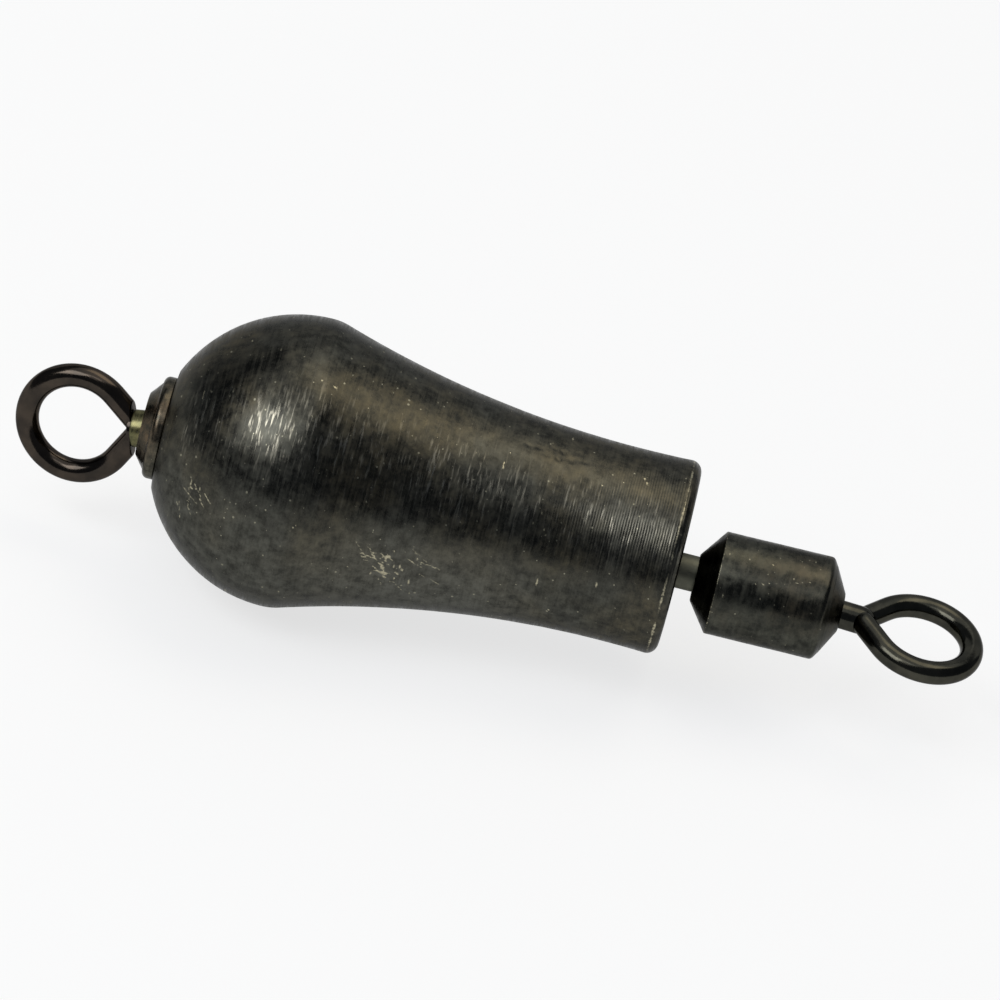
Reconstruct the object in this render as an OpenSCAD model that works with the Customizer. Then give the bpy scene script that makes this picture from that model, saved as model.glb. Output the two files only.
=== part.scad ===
// Swivel sinker for a fishing line: a turned brass weight with a line eye in its nose
// and a barrel swivel with a leader eye on its tail. Lengths in mm, angles in degrees.
// It lies on its side: axis along X, nose towards -X, the ball of the nose on Z = 0.
// Each turned piece is drawn as a profile of radius against distance from the tail face.

/* [Sinker body] */
// Radius of the ball nose, the thickest part of the body
ball_r = 7.78; // [7.2:0.02:9]
// Distance from the tail face to the middle of the ball
ball_from_tail = 20.7; // [18:0.1:26]
// Radius of the round between the ball and the neck
shoulder_round = 3.15; // [2:0.05:4.5]
// Radius of the waist, the thinnest part of the neck
waist_r = 5.16; // [4.9:0.02:6]
// Distance from the tail face to the waist
waist_from_tail = 3.2; // [2:0.1:6]
// Round on the rim of the tail face
rim_round = 0.6; // [0.2:0.05:0.9]
// Width of the bare ring of nose flat round the collar's flange
nose_land = 0.45; // [0.1:0.05:0.6]

/* [Wire eyes] */
// Diameter of the eye wire
wire_d = 1.24; // [1:0.02:1.5]
// Inner radius of the round part of each loop
eye_in_r = 2.1; // [1.8:0.02:2.6]
// Angle between each straight leg and the shank
leg_angle = 50; // [47:1:60]

/* [Line eye and nose collar] */
// Radius of the forged shank of the line eye
line_shank_r = 0.8; // [0.7:0.01:0.9]
// Radius of the round head of the line eye, inside the collar
line_head_r = 1.45; // [1.4:0.01:1.7]
// Distance from the loose ring to the inner point of the loop
line_neck = 0.35; // [0.3:0.05:2]
// Swing of the line eye from the axis to either stop
line_swing = 15.3; // [11:0.1:16]
// Way in which the line eye leans, turned about the axis from straight down
line_aside = 19.7; // [0:0.1:45]
// Turn of the line eye's loop about its shank, from the plane in which it leans
line_turn = 29.5; // [0:0.5:90]
// Outer radius of the loose ring on the line eye's shank
ring_r = 1; // [0.96:0.01:1.1]
// Length of the loose ring
ring_len = 0.8; // [0.5:0.05:1.1]
// Depth of the head's middle behind the nose flat
head_depth = 0.6; // [0.5:0.05:1]
// Wall of the collar's spigot round the head
spigot_wall = 0.7; // [0.5:0.05:1]
// Step from the spigot out to the flange's edge
flange_step = 0.55; // [0.45:0.05:0.9]
// Thickness of the collar's flange
flange_t = 0.65; // [0.4:0.05:0.7]
// Height of the collar's dome above the flange
dome_h = 0.6; // [0.4:0.05:0.7]
// Width of the flat lip round the collar's mouth
lip_w = 0.1; // [0.08:0.01:0.14]

/* [Stem and tail bush] */
// Radius of the stem
stem_r = 0.95; // [0.85:0.01:1.05]
// How far the loose stem lies below the body's axis
stem_drop = 0.69; // [0.4:0.01:0.75]
// Length of stem that shows between the tail face and the barrel
stem_show = 1.05; // [1:0.01:2.4]
// Free travel of the stem into the body
end_play = 0.9; // [0.6:0.05:0.95]
// Length of the tail bush
bush_len = 2.2; // [1.6:0.1:3]
// Chamfer at the mouth of the bush
bush_chamfer = 0.2; // [0.1:0.05:0.4]
// Thickness of the thrust washer
washer_t = 0.5; // [0.4:0.05:0.8]
// Least width of washer that bears on the bush
washer_lap = 0.25; // [0.15:0.05:0.3]
// Radius of the stem's riveted head behind the washer
rivet_r = 1.6; // [1.4:0.05:1.8]
// Height of the riveted head
rivet_h = 1; // [0.7:0.05:1.2]

/* [Barrel] */
// Outer radius of the swivel barrel
barrel_r = 2.75; // [2.6:0.01:3.1]
// Length of the swivel barrel
barrel_len = 7.9; // [7.6:0.02:10]
// Wall of the barrel
barrel_wall = 0.6; // [0.45:0.05:0.65]
// Length of the swaged cone on the stem's side
stem_cone = 1.11; // [0.9:0.01:1.3]
// Length of the swaged cone on the leader's side
leader_cone = 1; // [0.9:0.01:1.3]
// Width of the rim left round each hole
barrel_rim = 0.06; // [0.04:0.01:0.15]
// How far the barrel hangs below the stem
barrel_drop = 0.2; // [0.1:0.01:0.22]
// Upward tilt of the barrel's leader end
barrel_lift = 0.7; // [0:0.1:1.5]

/* [Leader eye] */
// Radius of the leader eye's shank
leader_shank_r = 0.75; // [0.7:0.01:0.8]
// Radius of the round heads of the stem and the leader eye, inside the barrel
barrel_head_r = 1.5; // [1.45:0.01:1.6]
// Distance from the barrel to the inner point of the leader loop
leader_neck = 1.72; // [1.4:0.02:3]
// How far the leader eye's shank lies below the middle of its hole
leader_drop = 0.1; // [0.05:0.01:0.12]
// Droop of the leader eye against the barrel
leader_droop = 3.9; // [0:0.1:5]
// Turn of the leader eye's loop about its shank, from upright
leader_turn = 87.2; // [0:0.1:90]
// Length of each leg past the place where the legs cross
leg_overlap = 0.15; // [0.05:0.01:0.3]
// Lean of each half of the leader loop, which takes its leg over or under the other
leader_lean = 1.5; // [1:0.1:4]

/* [Hidden] */
$fn = 96;

// Clearances: a running fit, a stop that is nearly reached, room round a loose piece, room to
// spare at the end of a pocket, and the squeeze of a press fit
run_gap = 0.05;
stop_gap = 0.03;
room = 0.1;
pocket_room = 0.4;
press = 0.01;
// How much thicker the wire is where two of its pieces meet, so that they fuse
swell = 0.02;
// How far a cutting shape runs past what it cuts
overrun = 1;
// Point angle of the drill that leaves each blind pocket
drill_angle = 118;

wire_r = wire_d / 2;
loop_r = eye_in_r + wire_r;
// Radius of the wire where its pieces meet
bend_r = wire_r + swell;
// From the middle of a loop to the inner point where its legs meet
loop_to_cusp = eye_in_r / sin(leg_angle);
// Length of a leg from the round part of its loop to the shank's axis
leg_to_axis = loop_r / tan(leg_angle);

// Line eye, measured forward from the middle of its head
ring_back = line_head_r + room;
ring_front = ring_back + ring_len;
line_shoulder = ring_front + run_gap;
line_reach = line_shoulder + line_neck + loop_to_cusp;

// Nose collar: the socket holds the head, the throat lets the shank swing, the mouth the ring
socket_r = line_head_r + run_gap;
spigot_r = socket_r + spigot_wall;
spigot_len = head_depth + line_head_r;
flange_r = spigot_r + flange_step;
throat_ahead = ring_back * cos(line_swing) - ring_r * sin(line_swing) - room;
throat_r = line_shank_r / cos(line_swing) + throat_ahead * tan(line_swing) + room;
mouth_ahead = head_depth + flange_t + dome_h;
mouth_r = ring_r / cos(line_swing) + mouth_ahead * tan(line_swing) + room - stop_gap;
lip_r = mouth_r + lip_w;

// Sinker body
nose_flat_r = flange_r + nose_land;
nose_z = -ball_from_tail - sqrt(pow(ball_r, 2) - pow(nose_flat_r, 2));
head_z = nose_z + head_depth;
shoulder_mid = [ball_r - shoulder_round, -ball_from_tail];
neck_run = ball_from_tail - waist_from_tail;
neck_rise = ball_r - waist_r;
neck_arc = (pow(neck_run, 2) + pow(neck_rise - shoulder_round, 2) - pow(shoulder_round, 2))
    / (2 * neck_rise);
neck_mid = [waist_r + neck_arc, -waist_from_tail];
// Where the shoulder's round runs into the neck's hollow
neck_start = shoulder_mid + (neck_mid - shoulder_mid) * shoulder_round / (neck_arc + shoulder_round);
// Middle of the rim's round, which touches the tail face and the neck's hollow
rim_mid = [neck_mid.x - sqrt(pow(neck_arc + rim_round, 2) - pow(waist_from_tail - rim_round, 2)),
           -rim_round];
rim_start = rim_mid + (neck_mid - rim_mid) * rim_round / (neck_arc + rim_round);

// Tail: the bush's hole takes the lowered stem, and the washer covers the hole wherever it lies
bush_hole_r = stem_drop + stem_r + stop_gap + stop_gap;
washer_r = bush_hole_r + stem_drop + washer_lap;
tail_pocket_r = washer_r + stem_drop + room;
washer_z = -bush_len - run_gap;
rivet_z = washer_z - washer_t - run_gap;
tail_pocket_len = -rivet_z + rivet_h + end_play + pocket_room;

// Barrel: cones at both ends with the wall carried round, and heads that seat inside them
stem_hole_r = stem_r + barrel_drop + stop_gap;
leader_hole_r = leader_shank_r + leader_drop + stop_gap + stop_gap;
stem_rim_r = stem_hole_r + barrel_rim;
leader_rim_r = leader_hole_r + barrel_rim;
stem_cone_angle = atan((barrel_r - stem_rim_r) / stem_cone);
leader_cone_angle = atan((barrel_r - leader_rim_r) / leader_cone);

// Depth inside a cone's end at which its inner face has radius r
function inner_depth(r, rim_r, angle) = (r - rim_r + barrel_wall / cos(angle)) / tan(angle);
// Depth at which the middle of a round head, lying off the axis by aside, bears on that face
function seat_depth(rim_r, angle, aside) =
    ((barrel_wall + barrel_head_r + run_gap) / cos(angle) + aside - rim_r) / tan(angle);

stem_seat = seat_depth(stem_rim_r, stem_cone_angle, barrel_drop);
leader_seat = seat_depth(leader_rim_r, leader_cone_angle, leader_drop);
leader_reach = leader_seat + leader_neck + loop_to_cusp;

// The whole part, from the far side of one loop to the far side of the other
line_loop_x = head_z - line_reach * cos(line_swing);
leader_slope = leader_droop - barrel_lift;
leader_loop_x = stem_show + barrel_len * cos(barrel_lift) + leader_drop * sin(barrel_lift)
    + (leader_neck + loop_to_cusp) * cos(leader_slope);
// Half-length along X of a loop that is turned and sloped
function loop_half(turn, slope) = loop_r * sqrt(1 - pow(sin(turn) * sin(slope), 2)) + wire_r;
part_start = line_loop_x - loop_half(line_turn, line_swing);
part_end = leader_loop_x + loop_half(leader_turn, leader_slope);

// Stands a piece drawn along Z on the body's axis, with its own +X pointing down
module on_axis() {
    translate([-(part_start + part_end) / 2, 0, ball_r])
        rotate([0, 90, 0])
            children();
}

// Frame of the line eye: origin in the middle of its head, Z out along its shank
module on_line_shank() {
    on_axis()
        translate([0, 0, head_z])
            rotate([0, 180 - line_swing, line_aside])
                children();
}

// Frame of the stem: Z along the stem, zero at the tail face
module on_stem() {
    on_axis()
        translate([stem_drop, 0, 0])
            children();
}

// Frame of the barrel: origin in the middle of its stem-side hole
module on_barrel() {
    on_stem()
        translate([barrel_drop, 0, stem_show])
            rotate([0, -barrel_lift, 0])
                children();
}

// Frame of the leader eye: origin in the middle of its head, Z out along its shank
module on_leader_shank() {
    on_barrel()
        translate([leader_drop, 0, barrel_len])
            rotate([0, leader_droop, 0])
                translate([0, 0, -leader_seat])
                    children();
}

// Half outline of the body: ball, shoulder round, hollow neck and rounded rim
module body_outline() {
    difference() {
        union() {
            intersection() {
                translate([0, -ball_from_tail])
                    circle(r = ball_r);
                translate([0, nose_z])
                    square([ball_r, -ball_from_tail - nose_z]);
            }
            translate(shoulder_mid)
                circle(r = shoulder_round);
            polygon([[0, -ball_from_tail], shoulder_mid, neck_start, [0, neck_start.y]]);
            translate([0, neck_start.y])
                square([neck_start.x, -neck_start.y]);
        }
        translate(neck_mid)
            circle(r = neck_arc);
        difference() {
            polygon([rim_mid, rim_start, [neck_start.x, rim_start.y], [neck_start.x, overrun],
                     [rim_mid.x, overrun]]);
            translate(rim_mid)
                circle(r = rim_round);
        }
    }
}

// Blind pocket with a drill point, opening at zero and running along +Z
module pocket(r, depth) {
    rotate_extrude()
        polygon([[0, -overrun], [r, -overrun], [r, depth], [0, depth + r / tan(drill_angle / 2)]]);
}

module sinker_body() {
    color("#3d3c34")
        on_axis()
            difference() {
                rotate_extrude()
                    body_outline();
                translate([0, 0, nose_z])
                    pocket(spigot_r - press, spigot_len + pocket_room);
                mirror([0, 0, 1])
                    pocket(tail_pocket_r - press, tail_pocket_len);
            }
}

// Outside of the collar: spigot, round-edged flange and dome
module collar_outline() {
    edge_r = flange_t / 2;
    difference() {
        polygon([[0, nose_z + spigot_len], [spigot_r, nose_z + spigot_len], [spigot_r, nose_z],
                 [flange_r, nose_z], [flange_r, nose_z - flange_t],
                 [flange_r - edge_r, nose_z - flange_t],
                 [lip_r, head_z - mouth_ahead], [0, head_z - mouth_ahead]]);
        difference() {
            translate([flange_r - edge_r, nose_z - flange_t - overrun])
                square([overrun, flange_t + 2 * overrun]);
            translate([flange_r - edge_r, nose_z - edge_r])
                circle(r = edge_r);
        }
    }
}

// Inside of the collar: mouth, throat and the socket behind it
module collar_hollow() {
    translate([0, head_z - mouth_ahead - overrun])
        square([mouth_r, mouth_ahead - throat_ahead + overrun]);
    translate([0, head_z - throat_ahead - overrun])
        square([throat_r, throat_ahead + overrun]);
    intersection() {
        translate([0, head_z])
            circle(r = socket_r);
        translate([0, head_z - socket_r])
            square(2 * socket_r);
    }
    translate([0, head_z])
        square([socket_r, spigot_len + overrun]);
}

module nose_collar() {
    color("#6b6547")
        on_axis()
            rotate_extrude()
                difference() {
                    collar_outline();
                    collar_hollow();
                }
}

module eye_ring() {
    color("#8a8450")
        on_line_shank()
            translate([0, 0, ring_back])
                rotate_extrude()
                    translate([line_shank_r + run_gap, 0])
                        square([ring_r - line_shank_r - run_gap, ring_len]);
}

// Half of an eye's wire, from the far end of the loop round to its straight leg. The half
// leans across the loop by lean, about the far end, so that two legs can pass each other.
module half_loop(reach, leg_len, lean) {
    translate([0, 0, reach + loop_r])
        rotate([lean, 0, 0])
            translate([0, 0, -loop_r]) {
                rotate([90, leg_angle, 0])
                    rotate_extrude(angle = 90 + leg_angle)
                        translate([loop_r, 0])
                            circle(r = wire_r);
                translate([loop_r * cos(leg_angle), 0, -loop_r * sin(leg_angle)])
                    rotate([0, 180 + leg_angle, 0]) {
                        sphere(r = bend_r);
                        cylinder(r = wire_r, h = leg_len);
                    }
            }
}

// Far end of a loop, where its two halves meet
module far_end(reach) {
    translate([0, 0, reach + loop_r])
        sphere(r = bend_r);
}

// The line eye: its legs meet at the shank and end in a flat shoulder that faces the ring
module line_eye() {
    color("#3a3530")
        on_line_shank() {
            sphere(r = line_head_r);
            cylinder(r = line_shank_r, h = line_shoulder + line_neck);
            far_end(line_reach);
            rotate([0, 0, line_turn])
                for (side = [0, 1])
                    rotate([0, 0, 180 * side])
                        difference() {
                            half_loop(line_reach, leg_to_axis + leg_overlap, 0);
                            cylinder(r = loop_r, h = line_shoulder);
                        }
        }
}

module tail_bush() {
    color("#6b6547")
        on_axis()
            translate([0, 0, -bush_len])
                difference() {
                    cylinder(r = tail_pocket_r, h = bush_len);
                    translate([0, 0, -overrun])
                        cylinder(r = bush_hole_r, h = bush_len + 2 * overrun);
                    translate([0, 0, bush_len - bush_chamfer])
                        cylinder(r1 = bush_hole_r, r2 = bush_hole_r + bush_chamfer, h = bush_chamfer);
                }
}

module thrust_washer() {
    color("#8c8c86")
        on_stem()
            translate([0, 0, washer_z - washer_t])
                difference() {
                    cylinder(r = washer_r, h = washer_t);
                    translate([0, 0, -overrun])
                        cylinder(r = stem_r + run_gap, h = washer_t + 2 * overrun);
                }
}

// The stem: riveted head in the body, pin, and round head in the barrel
module stem() {
    color("#5a5c52")
        on_stem() {
            rotate_extrude()
                polygon([[0, rivet_z - rivet_h], [stem_r, rivet_z - rivet_h],
                         [rivet_r, rivet_z - rivet_h / 2], [rivet_r, rivet_z], [stem_r, rivet_z],
                         [stem_r, stem_show + stem_seat], [0, stem_show + stem_seat]]);
            translate([0, 0, stem_show + stem_seat])
                sphere(r = barrel_head_r);
        }
}

// Half section of the barrel's wall
module barrel_section() {
    bore_r = barrel_r - barrel_wall;
    polygon([
        [stem_rim_r, 0],
        [barrel_r, stem_cone],
        [barrel_r, barrel_len - leader_cone],
        [leader_rim_r, barrel_len],
        [leader_hole_r, barrel_len],
        [leader_hole_r, barrel_len - inner_depth(leader_hole_r, leader_rim_r, leader_cone_angle)],
        [bore_r, barrel_len - inner_depth(bore_r, leader_rim_r, leader_cone_angle)],
        [bore_r, inner_depth(bore_r, stem_rim_r, stem_cone_angle)],
        [stem_hole_r, inner_depth(stem_hole_r, stem_rim_r, stem_cone_angle)],
        [stem_hole_r, 0]
    ]);
}

module barrel() {
    color("#45453b")
        on_barrel()
            rotate_extrude()
                barrel_section();
}

// The leader eye: its legs cross, one over the other, before they run into the shank
module leader_eye() {
    cross_z = leader_reach - loop_r / sin(leg_angle);
    color("#44443c")
        on_leader_shank() {
            sphere(r = barrel_head_r);
            cylinder(r = leader_shank_r, h = cross_z);
            far_end(leader_reach);
            rotate([0, 0, -leader_turn])
                mirror([0, 1, 0])
                    for (side = [0, 1])
                        rotate([0, 0, 180 * side])
                            half_loop(leader_reach, leg_to_axis + leg_overlap, leader_lean);
        }
}

sinker_body();
nose_collar();
eye_ring();
line_eye();
tail_bush();
thrust_washer();
stem();
barrel();
leader_eye();
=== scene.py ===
# %% [markdown]
# # A blackened brass fishing sinker
#
# The object is 53 mm long: a turned brass weight, a wire eye in a small collar on its nose, and a
# barrel swivel with a second wire eye on its tail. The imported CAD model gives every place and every
# joint. This script gives the visible pieces their turned, swaged and bent surfaces and their
# chemically blackened finish, and then lights them on a white table.

import bpy
import numpy as np
from mathutils import Matrix, Vector


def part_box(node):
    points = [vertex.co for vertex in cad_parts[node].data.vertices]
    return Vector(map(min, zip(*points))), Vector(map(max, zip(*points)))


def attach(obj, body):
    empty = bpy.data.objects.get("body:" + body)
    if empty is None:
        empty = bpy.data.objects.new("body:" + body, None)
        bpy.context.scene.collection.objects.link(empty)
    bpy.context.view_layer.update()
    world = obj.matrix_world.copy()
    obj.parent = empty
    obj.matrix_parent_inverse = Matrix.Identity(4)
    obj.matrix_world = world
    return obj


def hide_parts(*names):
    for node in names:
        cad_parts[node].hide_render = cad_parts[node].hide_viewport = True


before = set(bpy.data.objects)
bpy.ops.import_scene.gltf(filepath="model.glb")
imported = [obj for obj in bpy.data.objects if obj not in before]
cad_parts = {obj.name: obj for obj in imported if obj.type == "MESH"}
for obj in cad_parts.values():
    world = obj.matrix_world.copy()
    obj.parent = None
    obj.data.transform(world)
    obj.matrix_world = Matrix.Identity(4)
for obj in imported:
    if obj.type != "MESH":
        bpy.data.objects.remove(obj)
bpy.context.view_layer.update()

MM = 0.001
tail_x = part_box("sinker_body")[1].x / MM
axis_z = (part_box("sinker_body")[0].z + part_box("sinker_body")[1].z) / 2 / MM
print(f"tail face at X {tail_x:.3f} mm, axis {axis_z:.2f} mm above the table")

# %% [markdown]
# ## Camera
#
# The photograph looks down at 35 degrees, square to the body's axis, and it was taken with the
# camera rolled, so the axis slopes 14.2 degrees down to the right. A camera is built from three
# directions: where it looks from, and where its right and its up point. A long lens from 0.4 m
# keeps the shape of the pieces almost free of perspective, as in a product picture.

# %% Camera
PICTURE_PIXELS, PIXELS_PER_MM = 1000, 19.05
PICTURE_WIDTH = PICTURE_PIXELS / PIXELS_PER_MM
VIEW_HEIGHT, AXIS_SLOPE = np.radians([35, 14.2])
CAMERA_AWAY = 400
SENSOR = 36
AIM = (-0.36, 0.4, 8.35)

towards = Vector((0, -np.cos(VIEW_HEIGHT), np.sin(VIEW_HEIGHT)))
across = Vector((0, np.sin(VIEW_HEIGHT), np.cos(VIEW_HEIGHT)))
right = np.cos(AXIS_SLOPE) * Vector((1, 0, 0)) + np.sin(AXIS_SLOPE) * across
up = towards.cross(right)

lens = bpy.data.cameras.new("camera")
lens.sensor_width = SENSOR
lens.lens = SENSOR * CAMERA_AWAY / PICTURE_WIDTH
lens.clip_start = 0.01
camera = bpy.data.objects.new("camera", lens)
place = Matrix((right, up, towards)).transposed().to_4x4()
place.translation = (Vector(AIM) + towards * CAMERA_AWAY) * MM
camera.matrix_world = place
bpy.context.scene.collection.objects.link(camera)
bpy.context.scene.camera = camera
print(f"lens {lens.lens:.0f} mm for a picture {PICTURE_WIDTH:.1f} mm wide")

# %% [markdown]
# ## Surfaces from numbers
#
# Every piece here was turned on a lathe or bent from wire, so every piece is one of two surfaces:
# a profile carried round an axis, or a circle carried along a path. Both are grids of points. One
# function joins a grid of points into a closed mesh, and it turns the faces outwards by looking at
# the sign of the enclosed volume.

# %% A grid of points becomes a closed mesh
def skin(name, grids, **marks):
    """One mesh from grids of points in mm, each of rows x columns x 3. Columns close on
    themselves. A grid whose first and last row are the same closes along its rows as well, and
    any other gets a fan of triangles at each end, about the middle of its end row. The volume,
    a sum of triple products over the faces, says which way the faces point. Marks are wear and two
    kinds of painted light, a paler lower front as a painted reflection and a painted glint on fine
    streaks: for each grid a value per point, and 0 for a mark that isn't given."""
    points, quads, fans = [], [], []
    values = {mark: [] for mark in ("wear", "rubbed", "brushed")}
    base = 0
    for i, grid in enumerate(grids):
        ring = np.allclose(grid[0], grid[-1])
        used = grid[:-1] if ring else grid
        rows, columns = used.shape[:2]
        index = np.arange(rows * columns).reshape(rows, columns)
        low = index if ring else index[:-1]
        high = np.roll(index, -1, 0) if ring else index[1:]
        quad = np.stack([low, np.roll(low, -1, 1), np.roll(high, -1, 1), high], -1).reshape(-1, 4)
        flat = used.reshape(-1, 3)
        a, b, c, d = (flat[quad[:, k]] for k in range(4))
        outward = np.einsum("ij,ij->i", a, np.cross(b, c) + np.cross(c, d)).sum() > 0
        fan = np.zeros((0, 3), int)
        if not ring:
            tips = [rows * columns, rows * columns + 1]
            flat = np.vstack([flat, used[0].mean(0), used[-1].mean(0)])
            first, last = index[0], index[-1]
            fan = np.vstack([
                np.stack([np.full(columns, tips[0]), np.roll(first, -1), first], -1),
                np.stack([np.full(columns, tips[1]), last, np.roll(last, -1)], -1)])
        if not outward:
            quad, fan = quad[:, ::-1], fan[:, ::-1]
        for mark, parts in values.items():
            value = np.zeros(len(flat))
            if marks.get(mark):
                shown = marks[mark][i][:rows].reshape(-1)
                value[:len(shown)] = shown
            parts.append(value)
        points.append(flat)
        quads.append(quad + base)
        fans.append(fan + base)
        base += len(flat)
    mesh = bpy.data.meshes.new(name)
    faces = np.vstack(quads).tolist() + np.vstack(fans).tolist()
    mesh.from_pydata((np.vstack(points) * MM).tolist(), [], faces)
    for mark, parts in values.items():
        attribute = mesh.attributes.new(mark, "FLOAT", "POINT")
        attribute.data.foreach_set("value", np.concatenate(parts).astype(np.float32))
    mesh.shade_smooth()
    mesh.update()
    piece = bpy.data.objects.new(name, mesh)
    bpy.context.scene.collection.objects.link(piece)
    print(f"{name}: {sum(len(f) - 2 for f in faces)} triangles")
    return piece


# %% [markdown]
# ## Turned pieces
#
# A lathe profile is a list of points: distance along the axis, and radius. Real turned corners are
# never perfectly sharp, and a small round is what catches the light, so one helper rounds the
# corners of a profile and another fills its long stretches with points.

# %% Profiles
def arc(middle, radius, start, end, step):
    """Points on a circle from the angle start to the angle end in degrees, step mm apart."""
    count = max(4, int(np.ceil(abs(np.radians(end - start)) * radius / step)) + 1)
    angle = np.radians(np.linspace(start, end, count))
    return np.stack([middle[0] + radius * np.cos(angle), middle[1] + radius * np.sin(angle)], -1)


def rounded(corners, radii, parts=6):
    """Each corner that has a radius becomes an arc that touches both of its sides: it starts at
    radius times the tangent of half the turn from the corner, and its middle lies on the line
    that halves the corner."""
    corners = np.asarray(corners, float)
    out = [corners[:1]]
    for before, corner, after, radius in zip(corners[:-2], corners[1:-1], corners[2:], radii):
        into = (corner - before) / np.linalg.norm(corner - before)
        away = (after - corner) / np.linalg.norm(after - corner)
        turn = np.arccos(np.clip(into @ away, -1, 1))
        if radius == 0 or turn < 0.01:
            out.append(corner[None])
            continue
        reach = radius * np.tan(turn / 2)
        share = np.linspace(0, 1, parts + 1)[:, None]
        angle = share * turn
        side = (away - into * np.cos(turn)) / np.sin(turn)
        begin = corner - into * reach
        out.append(begin + radius * (np.sin(angle) * into + (1 - np.cos(angle)) * side))
    out.append(corners[-1:])
    return np.vstack(out)


def filled(path, step):
    """The same path with points at most step mm apart."""
    parts = []
    for a, b in zip(path[:-1], path[1:]):
        count = max(1, int(np.ceil(np.linalg.norm(b - a) / step)))
        parts.append(a + (b - a) * np.arange(count)[:, None] / count)
    return np.vstack(parts + [path[-1:]])


# %% A profile carried round an axis
SIDE = np.array([0.0, 1.0, 0.0])


def turned(profile, origin, axis, around, relief=None):
    """Grid of points: origin + distance along the axis + radius in the direction at each angle.
    Angle 0 is +Y and 90 degrees is up. Relief, a height in mm for each distance and angle, moves
    the points along the profile's own normal."""
    origin, axis = np.asarray(origin, float), np.asarray(axis, float)
    axis = axis / np.linalg.norm(axis)
    level = SIDE - axis * (axis @ SIDE)
    level /= np.linalg.norm(level)
    upward = np.cross(axis, level)
    angle = np.linspace(0, 2 * np.pi, around, endpoint=False)
    along, radius = profile[:, :1], profile[:, 1:]
    if relief is not None:
        slope = np.gradient(profile, axis=0)
        length = np.maximum(np.linalg.norm(slope, axis=1, keepdims=True), 1e-9)
        normal = np.stack([-slope[:, 1], slope[:, 0]], -1) / length
        height = relief(along, angle[None, :], radius)
        along = along + height * normal[:, :1]
        radius = radius + height * normal[:, 1:]
    along, radius, _ = np.broadcast_arrays(along, radius, angle)
    out = level * np.cos(angle)[:, None] + upward * np.sin(angle)[:, None]
    return origin + along[..., None] * axis + radius[..., None] * out[None]


# %% [markdown]
# ## The weight's body
#
# The body is one piece of brass: a ball nose, a round that turns into a long hollow neck, and a
# flat tail with a rounded rim. Each end has a blind drilled pocket. The outline is made of arcs
# that touch each other, as a form tool leaves them. The relief is what a hand sees and a drawing
# doesn't: shallow waves left by polishing, a group of pits on top of the neck, and small dents.

# %% Outline of the body
BALL_R, BALL_ALONG = 7.78, -20.7
SHOULDER_ROUND = 3.15
WAIST_R, WAIST_ALONG = 5.16, -3.2
RIM_ROUND = 0.6
NOSE_FLAT_R = 3.2
NOSE_POCKET_R, NOSE_POCKET_DEEP = 2.19, 2.45
TAIL_POCKET_R, TAIL_POCKET_DEEP = 3.42, 5.1
DRILL_SLOPE = np.tan(np.radians(59))
# The pockets' drill points end a hair off the axis, and each flat stops just short of the arc
# beside it, so that no two points of the outline fall together.
TIP_R, NOSE_FLAT_SHORT, TAIL_FLAT_SHORT = 0.02, 0.05, 0.03
POCKET_FLOOR_ROUND, POCKET_EDGE_ROUND, POCKET_PARTS = 0.1, 0.05, 3
BALL_STEP, SHOULDER_STEP, NECK_STEP, RIM_STEP = 0.135, 0.13, 0.16, 0.07
NOSE_POCKET_STEP, TAIL_POCKET_STEP = 0.9, 1.2

nose_along = BALL_ALONG - np.sqrt(BALL_R**2 - NOSE_FLAT_R**2)
run, rise = WAIST_ALONG - BALL_ALONG, BALL_R - WAIST_R
neck_arc = (run**2 + (rise - SHOULDER_ROUND)**2 - SHOULDER_ROUND**2) / (2 * rise)
neck_mid = np.array([WAIST_ALONG, WAIST_R + neck_arc])
shoulder_mid = np.array([BALL_ALONG, BALL_R - SHOULDER_ROUND])
rim_out = np.sqrt((neck_arc + RIM_ROUND)**2 - (WAIST_ALONG + RIM_ROUND)**2)
rim_mid = np.array([-RIM_ROUND, neck_mid[1] - rim_out])


def bearing(a, b):
    """Angle in degrees of the direction from a to b."""
    return np.degrees(np.arctan2(b[1] - a[1], b[0] - a[0]))


nose_pocket_end = nose_along + NOSE_POCKET_DEEP
body_profile = np.vstack([
    filled(rounded([(nose_pocket_end + NOSE_POCKET_R / DRILL_SLOPE, TIP_R),
                    (nose_pocket_end, NOSE_POCKET_R), (nose_along, NOSE_POCKET_R),
                    (nose_along, NOSE_FLAT_R - NOSE_FLAT_SHORT)],
                   [POCKET_FLOOR_ROUND, POCKET_EDGE_ROUND], POCKET_PARTS), NOSE_POCKET_STEP),
    arc((BALL_ALONG, 0), BALL_R, bearing((BALL_ALONG, 0), (nose_along, NOSE_FLAT_R)), 90,
        BALL_STEP),
    arc(shoulder_mid, SHOULDER_ROUND, 90, bearing(shoulder_mid, neck_mid), SHOULDER_STEP)[1:],
    arc(neck_mid, neck_arc, bearing(neck_mid, shoulder_mid), bearing(neck_mid, rim_mid),
        NECK_STEP)[1:],
    arc(rim_mid, RIM_ROUND, bearing(rim_mid, neck_mid), 0, RIM_STEP)[1:],
    filled(rounded([(0, rim_mid[1] - TAIL_FLAT_SHORT), (0, TAIL_POCKET_R),
                    (-TAIL_POCKET_DEEP, TAIL_POCKET_R),
                    (-TAIL_POCKET_DEEP - TAIL_POCKET_R / DRILL_SLOPE, TIP_R)],
                   [POCKET_EDGE_ROUND, POCKET_FLOOR_ROUND], POCKET_PARTS), TAIL_POCKET_STEP),
])
print(f"body outline of {len(body_profile)} points, neck hollow of radius {neck_arc:.1f} mm")

# %% Relief of the body
rng = np.random.default_rng(7)
PIT_ALONG, PIT_ANGLE = -7.4, 103
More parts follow.
